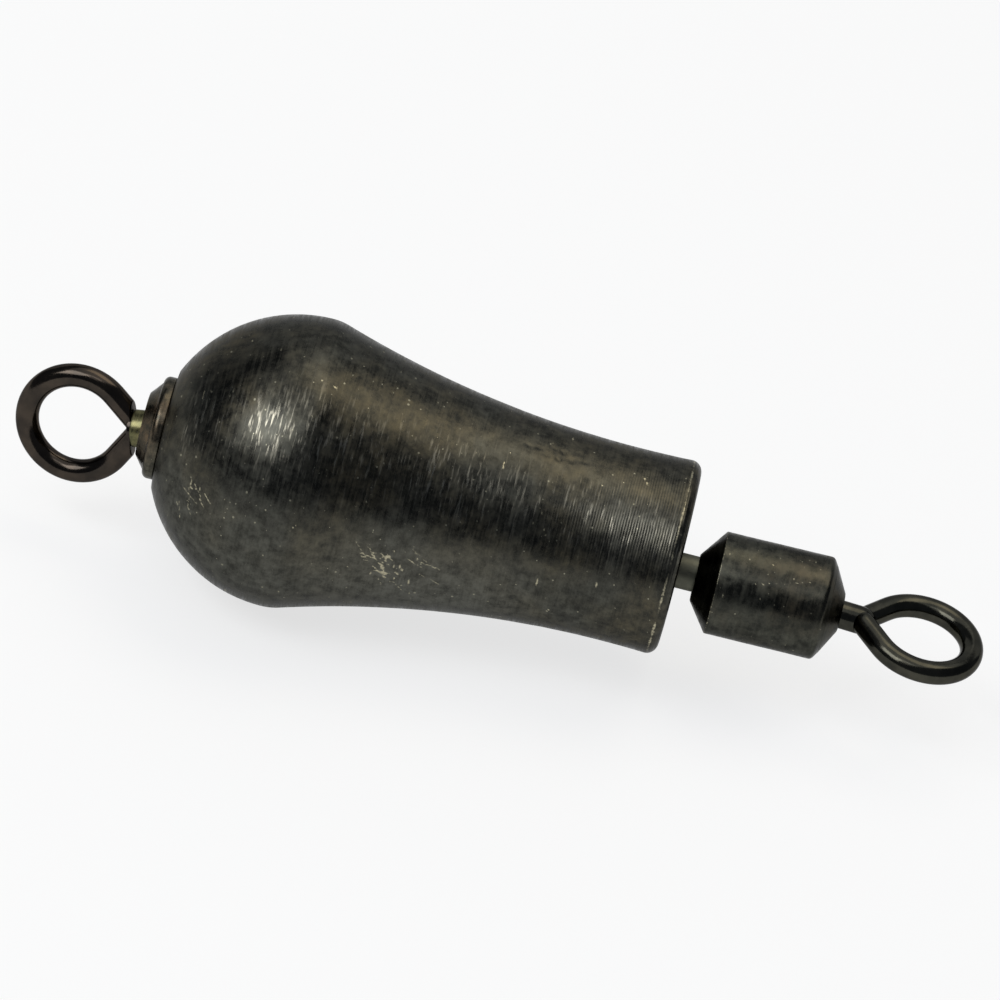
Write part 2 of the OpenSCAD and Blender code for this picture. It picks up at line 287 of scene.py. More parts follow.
# Height, length and number of the polishing waves, and how far the whole outside is sunk so that
# they don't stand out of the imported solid.
BODY_WAVES, SUNK = (0.0025, 5, 6), 0.006
EDGE_MARGIN = 0.02


def turn_from(angle, degrees):
    """Angle in radians from a direction given in degrees, at most half a turn either way: the
    phase of the unit complex number at their difference."""
    return np.angle(np.exp(1j * (angle - np.radians(degrees))))


def waves(along, angle, height, length, count):
    """Sum of count random waves about length mm long, height mm high altogether."""
    total = 0
    for _ in range(count):
        turns = rng.integers(1, max(2, int(2 * np.pi * WAIST_R / length)))
        total = total + np.sin(2 * np.pi * along / (length * rng.uniform(0.8, 1.6))
                               + turns * angle + rng.uniform(0, 6.28))
    return height * total / np.sqrt(count)


def hollows(along, angle, radius, spots):
    """Round dents: depth times a bell curve of the distance to each spot along the surface."""
    total = 0
    for at, turn, size, depth in spots:
        around = turn_from(angle, turn) * np.maximum(radius, 1)
        total = total - depth * np.exp(-((along - at)**2 + around**2) / size**2)
    return total


pits = [(PIT_ALONG + rng.normal(0, 0.9), PIT_ANGLE + rng.normal(0, 6), rng.uniform(0.07, 0.16),
         rng.uniform(0.02, 0.05)) for _ in range(22)]
dents = [(rng.uniform(-27, -1), rng.uniform(0, 360), rng.uniform(0.15, 0.5),
          rng.uniform(0.003, 0.012)) for _ in range(60)]


def body_relief(along, angle, radius):
    """Polishing waves and dents on the outside, nothing inside the pockets."""
    outside = ((radius > NOSE_FLAT_R) & (along < -EDGE_MARGIN)
               & (np.abs(radius - TAIL_POCKET_R) > EDGE_MARGIN))
    return outside * (waves(along, angle, *BODY_WAVES) - SUNK
                      + hollows(along, angle, radius, pits + dents))


# %% [markdown]
# Scratches through the black coat show dull, pale brass. Each is a short stroke on the unrolled
# surface. The mesh keeps three attributes for the material to read: wear says how bare a point
# is, and the other two are painted light. One paints the coat paler on the lower front, a painted
# reflection of the white table, and one paints a pale glint on fine streaks where the lamps are
# mirrored.

# %% Strokes, lines and soft steps
def strokes(along, angle, radius, marks):
    """1 on each stroke and 0 away from it. A stroke starts at a place along and round the body and
    runs length mm at a slant: the distance is that to the nearest point of its line."""
    worn = np.zeros(np.broadcast_shapes(along.shape, angle.shape))
    for at, turn, length, slant, width in marks:
        x = along - at
        y = turn_from(angle, turn) * np.maximum(radius, 1)
        dx, dy = np.cos(np.radians(slant)), np.sin(np.radians(slant))
        t = np.clip(x * dx + y * dy, 0, length)
        off = np.hypot(x - t * dx, y - t * dy)
        worn = np.maximum(worn, np.exp(-(off / width)**2))
    return worn


def line_at(along, place, width):
    """1 at the place and 0 away from it: a bell curve of the distance, width mm to each side."""
    return np.exp(-((along - place) / width)**2)


def up_to(along, place, width):
    """1 before the place and 0 past it, with a soft step: 1 / (1 + e to the distance / width)."""
    return 1 / (1 + np.exp((along - place) / width))


# %% Nicks in the body's coat
NICKS_ALONG, NICKS_ANGLE = -14.9, 182
NOSE_NICKS_ALONG, NOSE_NICKS_ANGLE = -25.1, 173
nicks = [(NICKS_ALONG + rng.normal(0, 1.3), NICKS_ANGLE + rng.normal(0, 6),
          rng.uniform(0.3, 1.5), rng.normal(60, 40), rng.uniform(0.04, 0.07)) for _ in range(26)]
nicks += [(NOSE_NICKS_ALONG + rng.normal(0, 0.5), NOSE_NICKS_ANGLE + rng.normal(0, 5),
           rng.uniform(0.3, 1.1), rng.normal(70, 30), rng.uniform(0.04, 0.07)) for _ in range(10)]
nicks += [(rng.uniform(-27, -1), rng.uniform(0, 360), rng.uniform(0.1, 0.6), rng.normal(90, 30),
           rng.uniform(0.04, 0.08)) for _ in range(70)]
print(f"{len(nicks)} nicks")

# %% The body with its marks
BODY_AROUND = 380
RIM_LINE_ALONG, RIM_LINE_WIDTH, RIM_LINE_FROM_R, RIM_BREAKS = -0.5, 0.1, 4.7, 73
# Painted glint: the band round the body, facing the lamps, where streaks are painted pale.
GLINT_ANGLE, GLINT_WIDTH, GLINT_WAVE, GLINT_FROM_R = 135, 0.28, 2.6, 4.9
# Painted reflection: the lower front, where the coat is painted paler as the body mirrors the table.
REFLECTION_ANGLE, REFLECTION_WIDTH, REFLECTION_UP_TO, LESS_UP_TO = 205, 0.75, -7.5, -17.5

origin = (tail_x, 0, axis_z)
body_grid = turned(body_profile, origin, (1, 0, 0), BODY_AROUND, body_relief)
turn_angle = np.linspace(0, 2 * np.pi, BODY_AROUND, endpoint=False)[None]
body_along, body_radius = body_profile[:, :1], body_profile[:, 1:]
rim_line = line_at(body_along, RIM_LINE_ALONG, RIM_LINE_WIDTH) * (body_radius > RIM_LINE_FROM_R)
rim_break = np.interp(np.degrees(turn_angle), np.linspace(0, 360, RIM_BREAKS),
                      rng.uniform(0.55, 1.15, RIM_BREAKS))
body_wear = np.maximum(strokes(body_along, turn_angle, body_radius, nicks), rim_break * rim_line)
# Painted glint, strongest on the band that faces the lamps' reflection.
body_brushed = (np.exp(-(turn_from(turn_angle, GLINT_ANGLE) / GLINT_WIDTH)**2)
                * (0.55 + 0.45 * np.sin(body_along / GLINT_WAVE)**2))
# Painted reflection: paler coat on the lower front, strongest 7.5 to 17.5 mm from the tail.
body_rubbed = (np.exp(-(turn_from(turn_angle, REFLECTION_ANGLE) / REFLECTION_WIDTH)**2)
               * (0.15 + 0.85 * up_to(body_along, REFLECTION_UP_TO, 1.2))
               * (1 - 0.45 * up_to(body_along, LESS_UP_TO, 1.0)))
body = skin("weight_body", [body_grid], wear=[np.clip(body_wear, 0, 1)], rubbed=[body_rubbed],
            brushed=[body_brushed * (body_radius > GLINT_FROM_R)])
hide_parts("sinker_body")
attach(body, "weight")

# %% [markdown]
# ## The nose collar
#
# A small turned collar is pressed into the nose. Outside, it has a round-edged flange and a low
# dome with a lip round its mouth. Inside is the socket that holds the line eye's round head. It is
# one profile that comes back to its start, so the mesh is a ring with no end caps.

# %% Outline of the nose collar
HEAD_DEPTH = 0.6
HEAD_ALONG = nose_along + HEAD_DEPTH
SOCKET_R, THROAT_R, THROAT_AHEAD = 1.5, 1.24, 1.13
MOUTH_FLOOR_R, MOUTH_EDGE_R, LIP_R, LIP_AHEAD = 1.51, 1.57, 1.67, 1.85
DOME_FOOT_R, DOME_FOOT_AHEAD = 2.36, 0.7
FLANGE_R, FLANGE_THICK = 2.75, 0.65
SPIGOT_R, SPIGOT_LEN = 2.2, 2.05
SOCKET_PARTS, SOCKET_CORNER, COLLAR_STEP = 9, 0.001, 0.12

throat_along, lip_along = HEAD_ALONG - THROAT_AHEAD, HEAD_ALONG - LIP_AHEAD
# The socket is a ball's, from its widest place to the throat: SOCKET_R * sin and SOCKET_R * cos.
socket_turn = np.linspace(0, np.arccos(THROAT_R / SOCKET_R), SOCKET_PARTS)
socket = [(HEAD_ALONG - SOCKET_R * np.sin(a), SOCKET_R * np.cos(a)) for a in socket_turn]
collar_corners = [
    (throat_along, THROAT_R), (throat_along, MOUTH_FLOOR_R), (lip_along, MOUTH_EDGE_R),
    (lip_along, LIP_R), (nose_along - DOME_FOOT_AHEAD, DOME_FOOT_R),
    (nose_along - FLANGE_THICK, FLANGE_R), (nose_along, FLANGE_R), (nose_along, SPIGOT_R),
    (nose_along + SPIGOT_LEN, SPIGOT_R), (nose_along + SPIGOT_LEN, SOCKET_R),
    *socket, (throat_along, THROAT_R)]
collar_rounds = ([0.05, 0.03, 0.05, 0.12, 0.32, 0.1, 0.02, 0.1, 0.05]
                 + [SOCKET_CORNER] * SOCKET_PARTS)
collar_profile = filled(rounded(collar_corners, collar_rounds), COLLAR_STEP)
print(f"collar outline of {len(collar_profile)} points")

# %% Nose collar
COLLAR_AROUND = 160
FLANGE_LINE_AHEAD, FLANGE_LINE_WIDTH, FLANGE_LINE_FROM_R = 0.6, 0.06, 2.5
LIP_LINE_AHEAD, LIP_LINE_WIDTH, LIP_LINE_R = 1.78, 0.06, 1.64

collar_along, collar_radius = collar_profile[:, :1], collar_profile[:, 1:]
flange_line = (line_at(collar_along, nose_along - FLANGE_LINE_AHEAD, FLANGE_LINE_WIDTH)
               * (collar_radius > FLANGE_LINE_FROM_R))
on_lip = ((np.abs(collar_radius - LIP_LINE_R) < LIP_LINE_WIDTH)
          & (collar_along < HEAD_ALONG - LIP_LINE_AHEAD))
collar_wear = np.broadcast_to(0.4 * flange_line + 0.6 * on_lip,
                              (len(collar_profile), COLLAR_AROUND))
collar = skin("nose_collar_turned", [turned(collar_profile, origin, (1, 0, 0), COLLAR_AROUND)],
              wear=[np.clip(collar_wear, 0, 1)])
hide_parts("nose_collar")
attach(collar, "weight")

# %% [markdown]
# ## Wire eyes
#
# An eye is one wire: straight out of its head, round a loop and back. A circle carried along a
# path makes it. At each point of the path, the circle stands square to the path, and the loop's
# own normal keeps it from twisting.

# %% A circle carried along a path
WIRE_STEP = 0.06


def along_path(path, radius, normal, around=48):
    """Grid of points: each path point plus radius times a turning direction, in the plane that is
    square to the path. The radius may differ from point to point."""
    tangent = np.gradient(path, axis=0)
    tangent /= np.linalg.norm(tangent, axis=1, keepdims=True)
    first = normal - tangent * (tangent @ normal)[:, None]
    first /= np.linalg.norm(first, axis=1, keepdims=True)
    second = np.cross(tangent, first)
    angle = np.linspace(0, 2 * np.pi, around, endpoint=False)
    ring = (first[:, None] * np.cos(angle)[None, :, None]
            + second[:, None] * np.sin(angle)[None, :, None])
    return path[:, None] + np.asarray(radius).reshape(-1, 1, 1) * ring


def smoothed(path, reach):
    """The path at even steps, with each inner point replaced by the mean of those within reach."""
    path = filled(path, WIRE_STEP)
    length = np.concatenate([[0], np.cumsum(np.linalg.norm(np.diff(path, axis=0), axis=1))])
    even = np.linspace(0, length[-1], int(length[-1] / WIRE_STEP))
    path = np.stack([np.interp(even, length, path[:, k]) for k in range(3)], -1)
    half = int(reach / WIRE_STEP)
    padded = np.vstack([2 * path[:1] - path[half:0:-1], path, 2 * path[-1:] - path[-2:-half - 2:-1]])
    total = np.cumsum(np.vstack([np.zeros((1, 3)), padded]), axis=0)
    window = 2 * half + 1
    return (total[window:] - total[:-window]) / window


# %% The wire of an eye
WIRE_R, EYE_IN_R = 0.62, 2.1
LOOP_R = EYE_IN_R + WIRE_R
LEG_ANGLE = np.radians(50)
LOOP_POINTS, BEND_REACH, END_NARROWS = 160, 0.25, 0.35
# From the loop's middle to where its legs meet inside, and the length of a leg up to the shank.
loop_to_cusp = EYE_IN_R / np.sin(LEG_ANGLE)
leg_to_axis = LOOP_R / np.tan(LEG_ANGLE)


def loop_wire(reach, lean, first_leg, last_leg):
    """Path in the loop's own directions: sideways, across, along the shank. One straight leg at
    50 degrees to the shank, an arc of 280 degrees and the other leg. Each half leans across by
    the sine of lean for each mm from the far end, one half up and the other half down."""
    turn = np.linspace(-LEG_ANGLE, np.pi + LEG_ANGLE, LOOP_POINTS)
    ring = np.stack([LOOP_R * np.cos(turn), reach + LOOP_R * np.sin(turn)], -1)
    leg = np.array([-np.sin(LEG_ANGLE), -np.cos(LEG_ANGLE)])
    start = ring[0] + leg * first_leg
    end = ring[-1] + leg * [-1, 1] * last_leg
    flat = np.vstack([start, ring, end])
    half = np.concatenate([[1], np.where(turn < np.pi / 2, 1, -1), [-1]])
    across_it = half * np.sin(np.radians(lean)) * (reach + LOOP_R - flat[:, 1])
    return smoothed(np.stack([flat[:, 0], across_it, flat[:, 1]], -1), BEND_REACH)


def cut_end(count, length):
    """Radius along a wire of count points: full, and over the length at each end it falls by a
    quarter of an ellipse to END_NARROWS less."""
    place = np.minimum(np.arange(count), np.arange(count)[::-1]) * WIRE_STEP
    share = np.clip(1 - place / length, 0, 1)
    return WIRE_R * (1 - END_NARROWS * (1 - np.sqrt(1 - share**2)))


# %% [markdown]
# Each eye ends in a shank with a round head. A head's arc and the shank stop a little short of the
# corner between them, and of the pole, so that the corner is rounded and the pole is one fan.

# %% A shank with its round head
HEAD_STEP, SHANK_STEP = 0.12, 0.25
# How far they stop short, in degrees of the arc's turn and in mm of the shank's length.
SHORT_OF_POLE, SHORT_OF_CORNER, SHANK_SHORT = 0.5, 3, 0.05
DOME_END, DOME_POINTS, SHANK_AROUND = 88, 16, 64


def head_and_shank(head_r, shank_r, length, dome):
    """Profile of a round head with a shank: an arc up to the shank, the shank, and a quarter of an
    ellipse that ends it between the two strands: length + dome * sin(a), shank_r * cos(a)."""
    meet = np.degrees(np.arcsin(shank_r / head_r))
    a = np.radians(np.linspace(0, DOME_END, DOME_POINTS))
    return np.vstack([arc((0, 0), head_r, 180 - SHORT_OF_POLE, meet + SHORT_OF_CORNER, HEAD_STEP),
                      filled(np.array([(head_r * np.cos(np.radians(meet)) + SHANK_SHORT, shank_r),
                                       (length - SHANK_SHORT, shank_r)]), SHANK_STEP),
                      np.stack([length + dome * np.sin(a), shank_r * np.cos(a)], -1)])


def in_frame(path, origin_point, side, across_it, out):
    """Points given as sideways, across and along, put into the object's frame."""
    return origin_point + path @ np.stack([side, across_it, out])


# %% Place of the line eye
# How far it leans off the axis, which way it leans from straight down, and its loop's own turn.
LINE_SWING, LINE_ASIDE, LINE_TURN = np.radians([15.3, 19.7, 29.5])
LINE_HEAD_R, LINE_SHANK_R, LINE_NECK = 1.45, 0.8, 0.35
RING_BACK, RING_LEN, RUN_GAP = 1.55, 0.8, 0.05
line_shoulder = RING_BACK + RING_LEN + RUN_GAP
line_reach = line_shoulder + LINE_NECK + loop_to_cusp
swing_axis = np.array([0, np.cos(LINE_ASIDE), np.sin(LINE_ASIDE)])
swing_down = np.array([0, np.sin(LINE_ASIDE), -np.cos(LINE_ASIDE)])
line_out = np.array([-np.cos(LINE_SWING), 0, 0]) + np.sin(LINE_SWING) * swing_down
line_up = np.array([-np.sin(LINE_SWING), 0, 0]) - np.cos(LINE_SWING) * swing_down
line_side = np.cos(LINE_TURN) * line_up + np.sin(LINE_TURN) * swing_axis
line_across = np.cross(line_out, line_side)
line_head = np.array([tail_x + HEAD_ALONG, 0, axis_z])
print(f"line eye's loop {line_reach:.3f} mm from the middle of its head")

# %% The line eye
LINE_LEAN, LINE_CUT, LINE_DOME, LINE_SHANK_PAST = 0.7, 0.12, 0.1, 0.15
FIRST_LEG_PAST, LAST_LEG_PAST = 0.3, 0.1

line_path = loop_wire(line_reach, LINE_LEAN, leg_to_axis + FIRST_LEG_PAST,
                      leg_to_axis + LAST_LEG_PAST)
line_path = in_frame(line_path, line_head, line_side, line_across, line_out)
line_grid = along_path(line_path, cut_end(len(line_path), LINE_CUT), line_across)
# The legs end in a flat shoulder that faces the ring: what lies behind it is pushed up to it.
depth = (line_grid - line_head) @ line_out
line_grid += np.maximum(line_shoulder - depth, 0)[..., None] * line_out
line_shank = turned(head_and_shank(LINE_HEAD_R, LINE_SHANK_R, line_shoulder + LINE_SHANK_PAST,
                                   LINE_DOME), line_head, line_out, SHANK_AROUND)
line_eye = skin("line_eye_wire", [line_grid, line_shank])
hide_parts("line_eye")
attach(line_eye, "line_eye")

# %% The loose ring on the line eye's shank
RING_R, RING_HOLE_R, RING_SEAM_R = 1.0, 0.85, 0.93
RING_ROUNDS, RING_STEP, RING_AROUND = [0.05, 0.08, 0.03, 0.03], 0.1, 96
ring_front = RING_BACK + RING_LEN
# A closed profile starts and ends inside one of its sides, where there is nothing to round.
ring_profile = filled(rounded([
    (RING_BACK, RING_SEAM_R), (RING_BACK, RING_R), (ring_front, RING_R),
    (ring_front, RING_HOLE_R), (RING_BACK, RING_HOLE_R), (RING_BACK, RING_SEAM_R)],
    RING_ROUNDS), RING_STEP)
loose_ring = skin("loose_ring_turned", [turned(ring_profile, line_head, line_out, RING_AROUND)])
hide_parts("eye_ring")
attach(loose_ring, "eye_ring")

# %% [markdown]
# ## Tail: bush and stem
#
# A bush is pressed flush into the tail, and the loose stem lies low in its hole. The stem is a
# short drawn pin with a riveted head inside the body and a round head inside the barrel.

# %% Tail bush
BUSH_R, BUSH_HOLE_R, BUSH_LEN, BUSH_CHAMFER, BUSH_SEAM = 3.43, 1.7, 2.2, 0.2, 1
BUSH_ROUNDS, BUSH_STEP, BUSH_AROUND = [0.04, 0.04, 0.04, 0.03, 0.03], 0.2, 128
bush_profile = filled(rounded([
    (-BUSH_SEAM, BUSH_R), (0, BUSH_R), (0, BUSH_HOLE_R + BUSH_CHAMFER),
    (-BUSH_CHAMFER, BUSH_HOLE_R), (-BUSH_LEN, BUSH_HOLE_R), (-BUSH_LEN, BUSH_R),
    (-BUSH_SEAM, BUSH_R)], BUSH_ROUNDS), BUSH_STEP)
bush = skin("tail_bush_turned", [turned(bush_profile, origin, (1, 0, 0), BUSH_AROUND)])
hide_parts("tail_bush")
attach(bush, "weight")

# %% [markdown]
# Each round head in the barrel is held by a cone that was rolled over it. It is drawn where a
# line's pull leaves it, a running gap short of its cone, so its place follows from the cone.

# %% Sizes of the swivel
BARREL_R, BARREL_LEN, BARREL_WALL, BARREL_HEAD_R = 2.75, 7.9, 0.6, 1.5
STEM_HOLE_R, STEM_CONE = 1.18, 1.11
LEADER_HOLE_R, LEADER_CONE = 0.91, 1.0
HOLE_RIM = 0.06
STEM_DROP, BARREL_DROP, LEADER_DROP = 0.69, 0.2, 0.1


def seat_depth(hole_r, cone, aside):
    """How far inside the barrel's end the middle of a head lies. It is a wall, the head's radius
    and a running gap away from the cone's outer face, measured square to it, and it lies aside
    mm off the axis: (that distance / cos(slope) + aside - radius of the rim) / tan(slope)."""
    slope = np.arctan((BARREL_R - hole_r - HOLE_RIM) / cone)
    off_face = BARREL_WALL + BARREL_HEAD_R + RUN_GAP
    return (off_face / np.cos(slope) + aside - hole_r - HOLE_RIM) / np.tan(slope)


stem_seat = seat_depth(STEM_HOLE_R, STEM_CONE, BARREL_DROP)
leader_seat = seat_depth(LEADER_HOLE_R, LEADER_CONE, LEADER_DROP)
print(f"heads lie {stem_seat:.4f} and {leader_seat:.4f} mm inside the barrel")

# %% Stem
STEM_R, STEM_SHOW = 0.95, 1.05
RIVET_TOP_R, RIVET_R = 0.95, 1.6
RIVET_TOP, RIVET_EDGE, RIVET_FACE = 3.8, 3.3, 2.8
STEM_ROUNDS, STEM_STEP, STEM_AROUND = [0.05, 0.15, 0.08, 0.02], 0.15, 96
stem_origin = (tail_x, 0, axis_z - STEM_DROP)
head_at = STEM_SHOW + stem_seat
meet = np.degrees(np.arcsin(STEM_R / BARREL_HEAD_R))
stem_end = head_at - BARREL_HEAD_R * np.cos(np.radians(meet)) - SHANK_SHORT
stem_profile = np.vstack([
    filled(rounded([(-RIVET_TOP, TIP_R), (-RIVET_TOP, RIVET_TOP_R), (-RIVET_EDGE, RIVET_R),
                    (-RIVET_FACE, RIVET_R), (-RIVET_FACE, STEM_R), (stem_end, STEM_R)],
                   STEM_ROUNDS), STEM_STEP),
    arc((head_at, 0), BARREL_HEAD_R, 180 - meet - SHORT_OF_CORNER, SHORT_OF_POLE, HEAD_STEP)])
stem = skin("stem_pin", [turned(stem_profile, stem_origin, (1, 0, 0), STEM_AROUND)])
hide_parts("stem")
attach(stem, "stem")

# %% [markdown]
# ## The barrel
#
# The barrel is a short brass tube whose ends were rolled inwards over the two round heads. The
# rolling leaves crisp edges at the stem's side, softer edges and a faint step at the leader's side.

# %% Outline of the barrel
BARREL_SEAM, BARREL_BULGE = 3.5, 0.01
STEM_LAND, STEM_BORE, STEM_RIM = 0.7, 1.41, 0.07
LEADER_LAND, LEADER_BORE, LEADER_RIM, LEADER_FACE = 0.65, 1.35, 0.12, 0.02
STEP_START, STEP_START_R, STEP_END, STEP_END_R = 0.76, 2.37, 0.72, 2.32
BARREL_ROUNDS = [0.3, 0.1, 0.1, 0.04, 0.02, 0.1, 0.3, 0.3, 0.1, 0.02, 0.02, 0.09]
BARREL_STEP = 0.14
bore_r = BARREL_R - BARREL_WALL
barrel_profile = filled(rounded([
    (BARREL_SEAM, BARREL_R), (BARREL_LEN - LEADER_CONE, BARREL_R + BARREL_BULGE),
    (BARREL_LEN - STEP_START, STEP_START_R), (BARREL_LEN - STEP_END, STEP_END_R),
    (BARREL_LEN - LEADER_FACE, LEADER_HOLE_R + LEADER_RIM), (BARREL_LEN, LEADER_HOLE_R),
    (BARREL_LEN - LEADER_LAND, LEADER_HOLE_R), (BARREL_LEN - LEADER_BORE, bore_r),
    (STEM_BORE, bore_r), (STEM_LAND, STEM_HOLE_R), (0.0, STEM_HOLE_R),
    (0.0, STEM_HOLE_R + STEM_RIM), (STEM_CONE, BARREL_R), (BARREL_SEAM, BARREL_R)],
    BARREL_ROUNDS), BARREL_STEP)
print(f"barrel outline of {len(barrel_profile)} points")

# %% Barrel
BARREL_AROUND = 240
BARREL_WAVES = (0.003, 3, 5)
BARREL_DENTS = [(2.0, 150, 0.2, 0.02), (1.7, 140, 0.15, 0.02), (3.9, 122, 0.12, 0.02)]
ROW_ALONG, ROW_ANGLE, ROW_STEP, ROW_TURN = 3.0, 136, 0.35, 2.0
SCRATCH_WIDTH, OUTSIDE_MARGIN = 0.04, 0.2
# Place, width and bareness of the pale lines on the edges of the two cones and of the step.
BARE_EDGES = [(STEM_CONE + 0.02, 0.07, 0.66), (BARREL_LEN - LEADER_CONE, 0.07, 0.5),
              (BARREL_LEN - STEP_END - 0.01, 0.05, 0.5)]
barrel_tilt = np.radians(0.7)
barrel_axis = np.array([np.cos(barrel_tilt), 0, np.sin(barrel_tilt)])
barrel_origin = np.array([tail_x + STEM_SHOW, 0, axis_z - STEM_DROP - BARREL_DROP])
barrel_along, barrel_radius = barrel_profile[:, :1], barrel_profile[:, 1:]
barrel_angle = np.linspace(0, 2 * np.pi, BARREL_AROUND, endpoint=False)[None]
outer = barrel_radius > bore_r + OUTSIDE_MARGIN


def barrel_relief(along, angle, radius):
    """Shallow waves and dents of the rolled tube."""
    return outer * (waves(along, angle, *BARREL_WAVES)
                    + hollows(along, angle, radius, BARREL_DENTS))


barrel_marks = [(ROW_ALONG + ROW_STEP * k, ROW_ANGLE - ROW_TURN * k, 0.16, 15, SCRATCH_WIDTH)
                for k in range(9)]
barrel_marks += [(rng.uniform(1.3, 6.4), rng.uniform(0, 360), rng.uniform(0.05, 0.3),
                  rng.normal(90, 30), SCRATCH_WIDTH) for _ in range(30)]
barrel_wear = strokes(barrel_along, barrel_angle, barrel_radius, barrel_marks)
for place_at, width, bareness in BARE_EDGES:
    edge = bareness * line_at(barrel_along, place_at, width) * outer
    barrel_wear = np.maximum(barrel_wear, edge)
barrel = skin("barrel_rolled", [turned(barrel_profile, barrel_origin, barrel_axis,
                                       BARREL_AROUND, barrel_relief)],
              wear=[barrel_wear * outer])
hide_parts("barrel")
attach(barrel, "barrel")

# %% [markdown]
# ## The leader eye
#
# The leader eye is bent as the line eye is. Its halves lean a little, one up and one down, so the
# strands meet one above the other. Their rounded ends lie over the domed end of the shank.

# %% Leader eye
LEADER_SLOPE, LEADER_TURN = np.radians([3.2, 87.2])
LEADER_SHANK_R, LEADER_NECK, LEADER_LEAN, LEADER_CUT = 0.75, 1.72, 1.5, 0.6
LEADER_DOME, LEADER_SHANK_PAST, LEADER_LEG_SHORT = 0.9, 0.1, 0.05
leader_reach = leader_seat + LEADER_NECK + loop_to_cusp
leader_out = np.array([np.cos(LEADER_SLOPE), 0, -np.sin(LEADER_SLOPE)])
leader_down = np.array([-np.sin(LEADER_SLOPE), 0, -np.cos(LEADER_SLOPE)])
barrel_down = np.array([np.sin(barrel_tilt), 0, -np.cos(barrel_tilt)])
leader_head = (barrel_origin + BARREL_LEN * barrel_axis + LEADER_DROP * barrel_down
               - leader_seat * leader_out)
leader_side = np.cos(LEADER_TURN) * leader_down - np.sin(LEADER_TURN) * SIDE
leader_across = -np.cross(leader_out, leader_side)
cross_at = leader_reach - LOOP_R / np.sin(LEG_ANGLE)
leader_path = loop_wire(leader_reach, LEADER_LEAN, leg_to_axis - LEADER_LEG_SHORT,
                        leg_to_axis - LEADER_LEG_SHORT)
leader_path = in_frame(leader_path, leader_head, leader_side, leader_across, leader_out)
leader_grid = along_path(leader_path, cut_end(len(leader_path), LEADER_CUT), leader_across)
leader_shank = turned(head_and_shank(BARREL_HEAD_R, LEADER_SHANK_R, cross_at + LEADER_SHANK_PAST,
                                     LEADER_DOME), leader_head, leader_out, SHANK_AROUND)
leader_eye = skin("leader_eye_wire", [leader_grid, leader_shank])
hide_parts("leader_eye")
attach(leader_eye, "leader_eye")

# %% [markdown]
# ## Finishes
#
# All the brass was turned and then blackened in a bath, which leaves a thin dark coat. The coat
# mirrors light as metal does, but weakly: about a twentieth comes back. Its colour is therefore
# written as that of a dark metal. Details of several sizes make it real: broken rings left by the
# lathe tool every 0.13 mm, mottled stains a millimetre wide, streaks and tool grooves with a
# painted glint where they face the lamps, and pale specks where the coat is worn. The lower
# front of the body's coat is painted paler, a painted reflection.

# %% Colours and nodes
def linear(code):
    """An sRGB hex colour as the linear numbers that Blender's sockets take."""
    c = np.array([int(code[i:i + 2], 16) for i in (1, 3, 5)]) / 255
    c = np.where(c <= 0.04045, c / 12.92, ((c + 0.055) / 1.055)**2.4)
    return (*c, 1.0)


def add(tree, kind, links=None, **settings):
    """Adds a node with its settings. Links holds a value or another node's output per input."""
    node = tree.nodes.new(kind)
    for name, value in settings.items():
        setattr(node, name, value)
    for key, value in (links or {}).items():
        if isinstance(value, bpy.types.NodeSocket):
            tree.links.new(value, node.inputs[key])
        else:
            node.inputs[key].default_value = value
    return node


def new_material(name):
    """An empty node material, its tree, and a vector in mm from Object coordinates."""
    material = bpy.data.materials.new(name)
    material.use_nodes = True
    tree = material.node_tree
    tree.nodes.clear()
    coordinates = add(tree, "ShaderNodeTexCoord")
    mm = add(tree, "ShaderNodeVectorMath", {0: coordinates.outputs["Object"], "Scale": 1 / MM},
             operation="SCALE")
    return material, tree, mm.outputs[0]


# %% [markdown]
# The blackened brass is one recipe with a few numbers to set: how coarse the lathe rings are, how
# strongly they stand out, and the colours of the coat. Stretching a noise to be fine along X and
# long across it gives broken rings round the axis, with no seam.

# %% Noises in the coat
# Scale, detail and roughness of each noise. A scale is how many patches lie in a millimetre.
NOISES = {"rings": (1.0, 3.0, 0.65), "mottle": (1.3, 8.0, 0.72), "stain": (0.22, 3.0, 0.55),
          "grain": (7.0, 3.0, 0.7)}
RINGS_ROUND = 0.35


def coat_noises(tree, mm, ring_mm):
    """Outputs by name. The rings read a stretched vector: a patch is ring_mm long along X, and
    1 / RINGS_ROUND mm across it. The others read the plain one."""
    stretched = add(tree, "ShaderNodeMapping",
                    {"Vector": mm, "Scale": (1 / ring_mm, RINGS_ROUND, RINGS_ROUND)})
    outputs = {}
    for kind, (scale, detail, roughness) in NOISES.items():
        vector = stretched.outputs[0] if kind == "rings" else mm
        noise = add(tree, "ShaderNodeTexNoise", {"Vector": vector, "Scale": scale,
                                                 "Detail": detail, "Roughness": roughness})
        outputs[kind] = noise.outputs[0]
    return outputs


# %% The coat's colour
# Painted reflection: the paler coat of the lower front.
REFLECTION_PALE_COAT = "#54544e"


